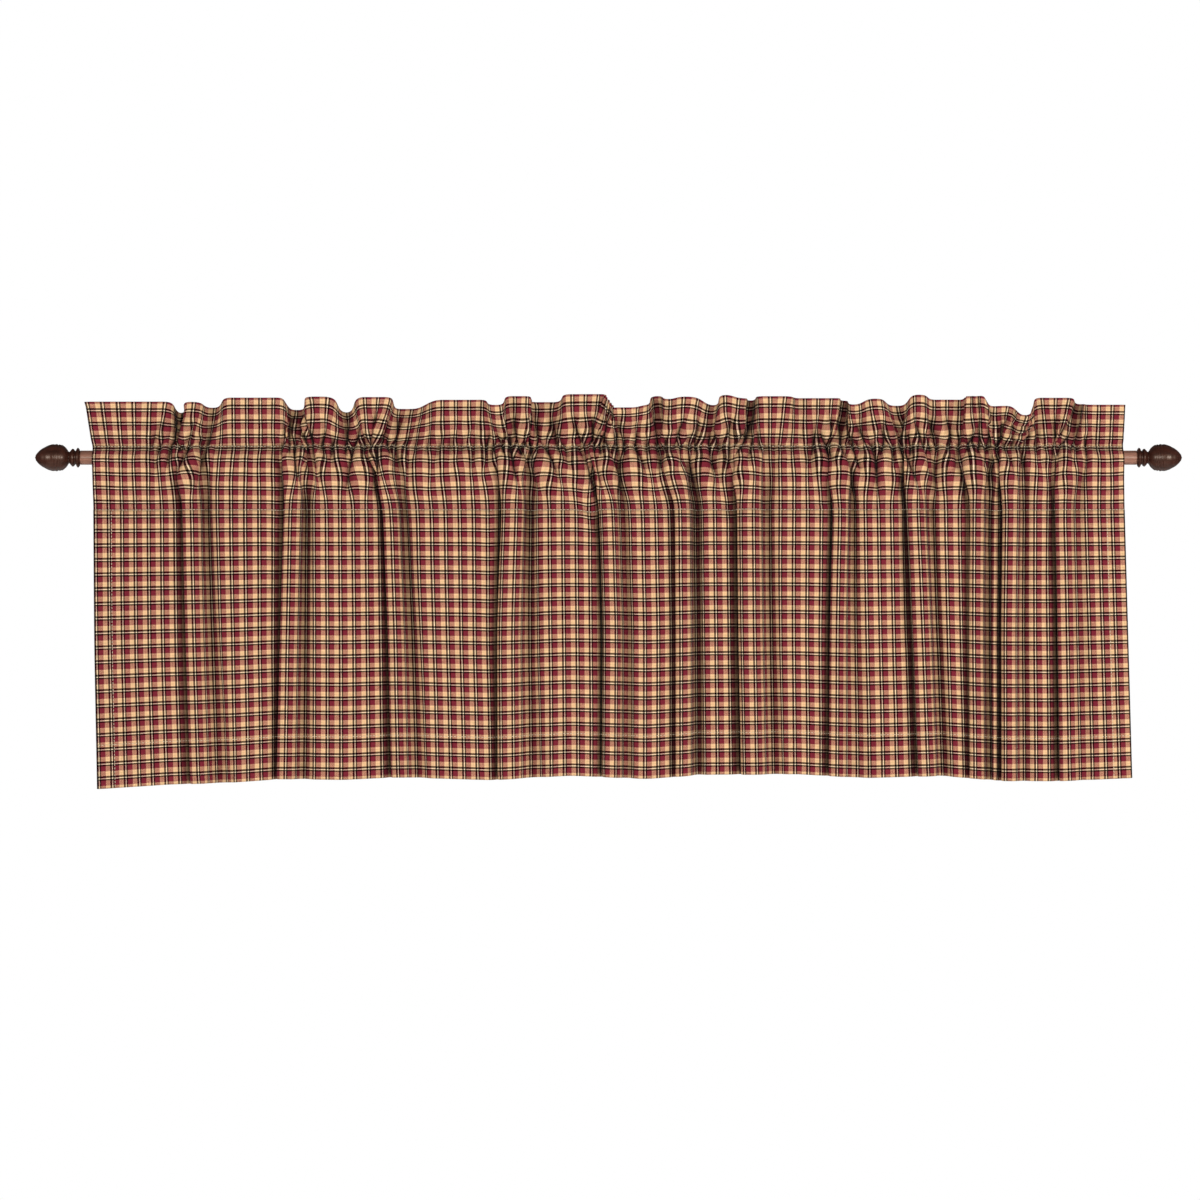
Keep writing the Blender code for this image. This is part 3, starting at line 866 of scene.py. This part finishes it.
def make_pocket(front, sizes, material):
    """The pocket round the rod, between the heading's stitching and its own."""
    outside = front.points[front.stitch_row:front.pocket_row + 1]
    heights = spaced(HEADING_STITCH, POCKET_STITCH, POCKET_ROW)
    depths = -np.array([level.height for level in LEVELS[:5]])
    rear_y = monotone_curve(depths, [level.rear_y for level in LEVELS[:5]], -heights)
    panel_y = monotone_curve(depths, [level.panel_y for level in LEVELS[:5]], -heights)
    folds = outside[:, :, 1] - panel_y[:, None]
    from_seam = np.minimum(heights - POCKET_STITCH, HEADING_STITCH - heights)
    share = 1.0 - 0.55 * ease(from_seam / 14.0)
    rear = outside.copy()
    rear[:, :, 1] = np.maximum(rear_y[:, None] + share[:, None] * folds, outside[:, :, 1] + SEAM_GAP)
    rear = clear_of_rod(rear, 1.0)[::-2]
    sheet = np.concatenate([outside, rear])
    down = front.down[front.stitch_row:front.pocket_row + 1]
    flat_down = np.concatenate([down, 2.0 * down[-1] - down[::-2] - 1.0])
    return mesh_from_grid(
        "valance_pocket", sheet, front.across[None, :], flat_down[:, None], material, sizes.cloth_thickness
    )


def new_material(name):
    material = bpy.data.materials.new(name)
    material.use_nodes = True
    return material, material.node_tree, material.node_tree.nodes["Principled BSDF"]


def add_node(tree, kind, **settings):
    node = tree.nodes.new(kind)
    for name, value in settings.items():
        setattr(node, name, value)
    return node


def feed(tree, socket, value):
    """Gives an input socket a number, a colour or another node's output."""
    if isinstance(value, bpy.types.NodeSocket):
        tree.links.new(value, socket)
    else:
        socket.default_value = value


def calculate(tree, operation, first, second=0.0, third=0.0):
    node = add_node(tree, "ShaderNodeMath", operation=operation)
    for socket, value in zip(node.inputs, (first, second, third)):
        feed(tree, socket, value)
    return node.outputs[0]


def mix(tree, factor, first, second, **settings):
    """Mixes two numbers, or two colours where the settings say so."""
    node = add_node(tree, "ShaderNodeMix", **settings)
    feed(tree, node.inputs["Factor"], factor)
    feed(tree, node.inputs["A"], first)
    feed(tree, node.inputs["B"], second)
    return node.outputs["Result"]


def shade_colour(tree, colour, shade):
    """A colour times a number."""
    grey = add_node(tree, "ShaderNodeCombineColor")
    for socket in grey.inputs:
        feed(tree, socket, shade)
    return mix(tree, 1.0, colour, grey.outputs["Color"], data_type="RGBA", blend_type="MULTIPLY")


def smooth_texture(tree, place, scale, detail, roughness=0.5):
    noise = add_node(tree, "ShaderNodeTexNoise")
    noise.inputs["Scale"].default_value = scale
    noise.inputs["Detail"].default_value = detail
    noise.inputs["Roughness"].default_value = roughness
    feed(tree, noise.inputs["Vector"], place)
    return noise.outputs["Fac"]


def stretch_range(tree, value, margin, low, high):
    """Makes the values that lie within this margin of one half run from low to high."""
    node = add_node(tree, "ShaderNodeMapRange")
    node.inputs["From Min"].default_value = 0.5 - margin
    node.inputs["From Max"].default_value = 0.5 + margin
    node.inputs["To Min"].default_value = low
    node.inputs["To Max"].default_value = high
    feed(tree, node.inputs["Value"], value)
    return node.outputs["Result"]


def raise_surface(tree, shader, height, strength, distance):
    """Gives a material its fine relief."""
    bump = add_node(tree, "ShaderNodeBump")
    bump.inputs["Strength"].default_value = strength
    bump.inputs["Distance"].default_value = distance
    feed(tree, bump.inputs["Height"], height)
    feed(tree, shader.inputs["Normal"], bump.outputs["Normal"])


def check_stripes(tree, place, colours):
    """The order of the coloured yarns over one repeat, at a place that runs from 0 to 1."""
    ramp = add_node(tree, "ShaderNodeValToRGB")
    ramp.color_ramp.interpolation = "CONSTANT"
    start = 0
    for index, stripe in enumerate(CHECK):
        if index < 2:
            stop = ramp.color_ramp.elements[index]
            stop.position = start / YARNS_IN_REPEAT
        else:
            stop = ramp.color_ramp.elements.new(start / YARNS_IN_REPEAT)
        seen = [value ** (1.0 / EYE_GAMMA) * stripe.light for value in getattr(colours, stripe.colour)]
        stop.color = (*seen, stripe.light)
        start += stripe.yarns
    feed(tree, ramp.inputs["Fac"], place)
    return ramp.outputs["Color"], ramp.outputs["Alpha"]


def check_material(sizes, colours):
    """Plain-woven check cotton: every yarn of both ways shows where it lies on top. Its colour carries
    painted shade between the yarns and in the recesses.
    """
    material, tree, shader = new_material("check_cotton")
    uv = add_node(tree, "ShaderNodeUVMap", uv_map="cloth")
    split = add_node(tree, "ShaderNodeSeparateXYZ")
    feed(tree, split.inputs[0], uv.outputs["UV"])
    warp_pitch = sizes.check_width / YARNS_IN_REPEAT
    weft_pitch = sizes.check_height / YARNS_IN_REPEAT
    warp = calculate(tree, "MULTIPLY_ADD", split.outputs["X"], 1.0 / warp_pitch, FIRST_WARP)
    weft = calculate(tree, "MULTIPLY_ADD", split.outputs["Y"], -1.0 / weft_pitch, FIRST_WEFT)
    warp_number = calculate(tree, "FLOOR", warp)
    weft_number = calculate(tree, "FLOOR", weft)
    places = []
    for number in (warp_number, weft_number):
        middle = calculate(tree, "ADD", number, 0.5)
        places.append(calculate(tree, "FRACT", calculate(tree, "DIVIDE", middle, YARNS_IN_REPEAT)))
    warp_colour, warp_light = check_stripes(tree, places[0], colours)
    weft_colour, weft_light = check_stripes(tree, places[1], colours)
    parity = calculate(tree, "FLOORED_MODULO", calculate(tree, "ADD", warp_number, weft_number), 2.0)

    warp_round = yarn_round(tree, warp)
    weft_round = yarn_round(tree, weft)
    warp_slub = yarn_slubs(tree, warp_number, weft, 3.1)
    weft_slub = yarn_slubs(tree, weft_number, warp, 7.7)
    warp_relief = yarn_relief(tree, warp_round, weft_round)
    weft_relief = yarn_relief(tree, weft_round, warp_round)
    relief = mix(tree, parity, weft_relief, warp_relief, data_type="FLOAT")
    slub = mix(tree, parity, weft_slub, warp_slub, data_type="FLOAT")

    soft_parity = calculate(tree, "MULTIPLY_ADD", parity, 0.6, 0.2)
    mixed = mix(tree, soft_parity, weft_colour, warp_colour, data_type="RGBA")
    crossing_light = calculate(tree, "MULTIPLY", warp_light, weft_light)
    woven = add_node(tree, "ShaderNodeGamma")
    woven.inputs["Gamma"].default_value = EYE_GAMMA
    feed(tree, woven.inputs["Color"], shade_colour(tree, mixed, crossing_light))
    # Painted shade at the scale of the yarns: the colour is lighter on their rounded tops and darker where
    # they sink between the yarns that they cross. The slubs then add uneven dye along each yarn.
    shade = calculate(tree, "MULTIPLY_ADD", relief, 0.35, 0.72)
    shade = calculate(tree, "MULTIPLY", shade, slub)
    colour = shade_colour(tree, woven.outputs["Color"], shade)
    # Painted shade: the base colour is darkened in the recesses and gathers.
    feed(tree, shader.inputs["Base Color"], paint_recess_shade(tree, colour))
    shader.inputs["Roughness"].default_value = 0.88
    shader.inputs["Specular IOR Level"].default_value = 0.03
    shader.inputs["Sheen Weight"].default_value = 0.02
    shader.inputs["Sheen Roughness"].default_value = 0.5
    raise_surface(tree, shader, relief, 0.5, 0.00012)
    return material


def paint_recess_shade(tree, colour):
    """Paints shade into a colour down in the gathers, where cloth faces cloth and little light gets in."""
    nearby = add_node(tree, "ShaderNodeAmbientOcclusion", samples=PAINTED_SHADE_RAYS)
    nearby.inputs["Distance"].default_value = PAINTED_SHADE_REACH
    # Painted shade: the occlusion darkens the colour itself.
    painted_shade_factor = calculate(tree, "POWER", nearby.outputs["AO"], PAINTED_SHADE_STRENGTH)
    return shade_colour(tree, colour, painted_shade_factor)


def yarn_round(tree, place):
    """The rounded height across one yarn, from 0 at its edges to 1 on top."""
    turn = calculate(tree, "MULTIPLY", calculate(tree, "FRACT", place), math.pi)
    return calculate(tree, "SINE", turn)


def yarn_relief(tree, own_round, crossing_round):
    """The height of a yarn that sinks between the yarns that it crosses."""
    sinking = calculate(tree, "MULTIPLY_ADD", crossing_round, 0.5, 0.5)
    return calculate(tree, "MULTIPLY", own_round, sinking)


def yarn_slubs(tree, number, along, offset):
    """Uneven thickness and dye along each yarn."""
    place = add_node(tree, "ShaderNodeCombineXYZ")
    feed(tree, place.inputs["X"], calculate(tree, "MULTIPLY_ADD", number, 0.73, offset))
    feed(tree, place.inputs["Y"], calculate(tree, "MULTIPLY", along, 0.055))
    noise = smooth_texture(tree, place.outputs["Vector"], 1.0, 2.0)
    return stretch_range(tree, noise, 0.2, 0.80, 1.18)


def wood_material(name, colour, roughness):
    """Stained turned wood with its grain along the rod and a satin coat."""
    material, tree, shader = new_material(name)
    place = add_node(tree, "ShaderNodeTexCoord")
    stretch = add_node(tree, "ShaderNodeMapping")
    stretch.inputs["Scale"].default_value = (14.0, 160.0, 160.0)
    feed(tree, stretch.inputs["Vector"], place.outputs["Object"])
    grain = smooth_texture(tree, stretch.outputs["Vector"], 1.6, 6.0, 0.62)
    tone = stretch_range(tree, grain, 0.15, 0.62, 1.35)
    feed(tree, shader.inputs["Base Color"], shade_colour(tree, (*colour, 1.0), tone))
    shader.inputs["Roughness"].default_value = roughness
    shader.inputs["Specular IOR Level"].default_value = 0.4
    shader.inputs["Specular Tint"].default_value = (1.0, 0.74, 0.55, 1.0)
    shader.inputs["Coat Weight"].default_value = 0.08
    shader.inputs["Coat Roughness"].default_value = 0.18
    raise_surface(tree, shader, grain, 0.15, 0.0002)
    return material


def plain_material(name, colour, roughness):
    material, _, shader = new_material(name)
    shader.inputs["Base Color"].default_value = (*colour, 1.0)
    shader.inputs["Roughness"].default_value = roughness
    return material


def turn_on_lathe(name, start_x, side, profile, material):
    """Turns a profile of (out, radius) in millimetres along X by extruding one ring after another."""
    select_none()
    first = profile[0]
    x = start_x + side * first[0] * MM
    bpy.ops.mesh.primitive_circle_add(
        vertices=PROFILE_SIDES,
        radius=first[1] * MM,
        fill_type="NGON",
        location=(x, 0.0, 0.0),
        rotation=(0.0, math.pi / 2.0, 0.0),
    )
    piece = bpy.context.view_layer.objects.active
    piece.name = name
    piece.data.name = name
    bpy.ops.object.transform_apply(location=True, rotation=True, scale=True)
    bpy.ops.object.mode_set(mode="EDIT")
    bpy.ops.mesh.select_all(action="SELECT")
    for before, after in zip(profile, profile[1:]):
        step = side * (after[0] - before[0]) * MM
        x += step
        bpy.ops.mesh.extrude_region_move(TRANSFORM_OT_translate={"value": (step, 0.0, 0.0)})
        ratio = max(after[1], 0.02) / before[1]
        bpy.ops.transform.resize(value=(1.0, ratio, ratio), center_override=(x, 0.0, 0.0))
    bpy.ops.mesh.merge(type="CENTER")
    bpy.ops.mesh.select_all(action="SELECT")
    bpy.ops.mesh.normals_make_consistent(inside=False)
    bpy.ops.object.mode_set(mode="OBJECT")
    piece.data.materials.append(material)
    bpy.ops.object.shade_smooth_by_angle(angle=math.radians(50.0))
    return piece


def finial_profile():
    """The acorn finial's smooth outline, as distances out from the rod's end and radii."""
    first = (FINIAL_LOW.x - ROD_HIGH.x) / MM
    length = (FINIAL_HIGH.x - ROD_HIGH.x) / MM
    outs = [first] + [station.out for station in FINIAL_STATIONS]
    radii = [7.2] + [station.radius for station in FINIAL_STATIONS]
    places = np.concatenate([spaced(first, outs[-1], 0.4), [length - 0.6]])
    radii = np.append(monotone_curve(outs, radii, places[:-1]), 1.4)
    return [*zip(places.tolist(), radii.tolist()), (length, 0.0)]


def make_rod(material):
    half = ROD_HIGH.x / MM
    radius = ROD_HIGH.z / MM
    chamfer = 0.5
    profile = [
        (-half, radius - chamfer),
        (-half + chamfer, radius),
        (half - chamfer, radius),
        (half, radius - chamfer),
        (half, 0.0),
    ]
    return turn_on_lathe("curtain_rod", 0.0, 1.0, profile, material)


def make_stitches(name, lines, sizes, material):
    """Stitches of thread along lines of (points, normals) on the cloth, as one mesh."""
    sides, rings = 5, 4
    angles = np.arange(sides) * 2.0 * np.pi / sides
    shares = np.linspace(0.0, 1.0, rings)
    radius = sizes.thread_radius / MM
    pitch, length = sizes.stitch_pitch / MM, sizes.stitch_length / MM
    vertices, faces = [], []
    for points, normals in lines:
        steps = np.linalg.norm(np.diff(points, axis=0), axis=1)
        along = np.concatenate([[0.0], np.cumsum(steps)])
        starts = np.arange(pitch / 2.0, along[-1] - length, pitch)
        for start in starts:
            places = start + shares * length
            centre = np.stack([np.interp(places, along, points[:, k]) for k in range(3)], axis=1)
            normal = np.stack([np.interp(places, along, normals[:, k]) for k in range(3)], axis=1)
            normal /= np.linalg.norm(normal, axis=1, keepdims=True)
            direction = centre[-1] - centre[0]
            direction /= np.linalg.norm(direction)
            across = np.cross(direction, normal)
            lift = (0.55 * radius + 0.5 * radius * np.sin(np.pi * shares))[:, None]
            centre = centre + normal * lift
            taper = (0.55 + 0.45 * np.sin(np.pi * np.clip(shares, 0.08, 0.92)))[:, None, None]
            ring = (
                np.cos(angles)[None, :, None] * across[:, None, :]
                + np.sin(angles)[None, :, None] * normal[:, None, :]
            ) * radius * taper
            first = len(vertices)
            vertices.extend((centre[:, None, :] + ring).reshape(-1, 3) * MM)
            for row in range(rings - 1):
                for side in range(sides):
                    a = first + row * sides + side
                    b = first + row * sides + (side + 1) % sides
                    faces.append((a, b, b + sides, a + sides))
            faces.append(tuple(first + side for side in range(sides))[::-1])
            faces.append(tuple(first + (rings - 1) * sides + side for side in range(sides)))
    mesh = bpy.data.meshes.new(name)
    mesh.from_pydata([tuple(vertex) for vertex in vertices], [], faces)
    mesh.shade_smooth()
    mesh.materials.append(material)
    piece = bpy.data.objects.new(name, mesh)
    bpy.context.scene.collection.objects.link(piece)
    return piece


def sew_seams(front, gathered, sizes, material):
    """The stitching of the heading, the pocket, the hem and the two side hems."""
    half = sizes.cloth_thickness / MM / 2.0
    outside = front.points + front.normals * half
    hem_row = int(np.argmin(np.abs(outside[:, :, 2].mean(axis=1) - HEM_STITCH)))
    width = int(round(sizes.side_hem / MM / COLUMN_STEP)) - 1
    stitched = gathered.stitch_row
    top = gathered.points[stitched] + gathered.normals[stitched] * half
    seams = [make_stitches("heading_stitching", [(top, gathered.normals[stitched])], sizes, material)]
    for name, row in (("pocket_stitching", front.pocket_row), ("hem_stitching", hem_row)):
        seams.append(make_stitches(name, [(outside[row], front.normals[row])], sizes, material))
    rows = slice(front.pocket_row, None)
    sides = [(outside[rows, column], front.normals[rows, column]) for column in (width, -1 - width)]
    seams.append(make_stitches("side_stitching", sides, sizes, material))
    return seams


class VALANCE_OT_rod(bpy.types.Operator):
    """Turns the rod and stains it"""

    bl_idname = "valance.rod"
    bl_label = "Rod"

    def execute(self, context):
        colours = context.scene.valance_colours
        rod = make_rod(wood_material("rod_walnut", colours.rod, 0.42))
        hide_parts("rod")
        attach(rod, BODY)
        return {"FINISHED"}


class VALANCE_OT_finials(bpy.types.Operator):
    """Turns the two acorn finials and stains them"""

    bl_idname = "valance.finials"
    bl_label = "Finials"

    def execute(self, context):
        colours = context.scene.valance_colours
        material = wood_material("finial_walnut", colours.finial, 0.36)
        profile = finial_profile()
        for name, side in (("finial_left", -1.0), ("finial_right", 1.0)):
            finial = turn_on_lathe("acorn_" + name, side * ROD_HIGH.x, side, profile, material)
            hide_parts(name)
            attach(finial, BODY)
        return {"FINISHED"}


class VALANCE_OT_cloth(bpy.types.Operator):
    """Hangs the check cloth in its folds on the rod, and sews it"""

    bl_idname = "valance.cloth"
    bl_label = "Cloth"

    def execute(self, context):
        sizes = context.scene.valance_sizes
        colours = context.scene.valance_colours
        front, gathered = hang_front()
        material = check_material(sizes, colours)
        heading = make_heading(gathered, sizes, material)
        pocket = make_pocket(gathered, sizes, material)
        panel = make_panel(front, sizes, material)
        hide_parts("valance_cloth")
        seams = sew_seams(front, gathered, sizes, plain_material("tan_thread", colours.thread, 0.7))
        for piece in (panel, pocket, heading, *seams):
            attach(piece, BODY)
        return {"FINISHED"}


class VALANCE_OT_stage(bpy.types.Operator):
    """Adds the floor, the lights and the camera"""

    bl_idname = "valance.stage"
    bl_label = "Stage"

    def execute(self, context):
        scene = context.scene
        select_none()
        bpy.ops.mesh.primitive_plane_add(size=4.0, location=(0.0, 0.0, -1.25))
        floor = context.view_layer.objects.active
        floor.name = "floor"
        floor.data.materials.append(plain_material("pale_floor", (0.86, 0.86, 0.85), 0.9))

        world = bpy.data.worlds.new("studio")
        scene.world = world
        world.use_nodes = True
        tree = world.node_tree
        room = tree.nodes["Background"]
        room.inputs["Color"].default_value = (1.0, 1.0, 1.0, 1.0)
        room.inputs["Strength"].default_value = ROOM_LIGHT
        backdrop = add_node(tree, "ShaderNodeBackground")
        backdrop.inputs["Color"].default_value = (1.0, 1.0, 1.0, 1.0)
        backdrop.inputs["Strength"].default_value = 1.0
        chooser = add_node(tree, "ShaderNodeMixShader")
        seen = add_node(tree, "ShaderNodeLightPath")
        feed(tree, chooser.inputs["Fac"], seen.outputs["Is Camera Ray"])
        tree.links.new(room.outputs[0], chooser.inputs[1])
        tree.links.new(backdrop.outputs[0], chooser.inputs[2])
        tree.links.new(chooser.outputs[0], tree.nodes["World Output"].inputs["Surface"])

        for lamp in LAMPS:
            area = bpy.data.lights.new(lamp.name, "AREA")
            area.energy = lamp.power
            area.size = lamp.size
            light = bpy.data.objects.new(lamp.name, area)
            light.location = lamp.place
            light.visible_camera = False
            light.visible_glossy = lamp.place[1] < 0.0
            light.rotation_euler = (-Vector(lamp.place)).to_track_quat("-Z", "Y").to_euler()
            scene.collection.objects.link(light)

        lens = bpy.data.cameras.new("camera")
        lens.lens = LENS_MM
        lens.sensor_width = SENSOR_MM
        camera = bpy.data.objects.new("camera", lens)
        camera.location = (FRAME_X, -FRAME_WIDTH * LENS_MM / SENSOR_MM, FRAME_Z)
        camera.rotation_euler = (math.pi / 2.0, 0.0, 0.0)
        scene.collection.objects.link(camera)
        scene.camera = camera
        scene.view_settings.view_transform = "Standard"
        return {"FINISHED"}


class VALANCE_PT_panel(bpy.types.Panel):
    """Lists the valance's pieces in the sidebar"""

    bl_label = "Valance"
    bl_idname = "VALANCE_PT_panel"
    bl_space_type = "VIEW_3D"
    bl_region_type = "UI"
    bl_category = "Valance"

    def draw(self, context):
        for settings in (context.scene.valance_sizes, context.scene.valance_colours):
            for name in settings.__annotations__:
                self.layout.prop(settings, name)
        for operator in OPERATORS:
            self.layout.operator(operator.bl_idname)


OPERATORS = (
    VALANCE_OT_rod,
    VALANCE_OT_finials,
    VALANCE_OT_cloth,
    VALANCE_OT_stage,
)
CLASSES = (ValanceSizes, ValanceColours, *OPERATORS, VALANCE_PT_panel)


def register():
    for item in CLASSES:
        bpy.utils.register_class(item)
    bpy.types.Scene.valance_sizes = bpy.props.PointerProperty(type=ValanceSizes)
    bpy.types.Scene.valance_colours = bpy.props.PointerProperty(type=ValanceColours)


def unregister():
    del bpy.types.Scene.valance_colours
    del bpy.types.Scene.valance_sizes
    for item in reversed(CLASSES):
        bpy.utils.unregister_class(item)


def main():
    register()
    bpy.ops.valance.rod()
    bpy.ops.valance.finials()
    bpy.ops.valance.cloth()
    bpy.ops.valance.stage()


if __name__ == "__main__":
    main()
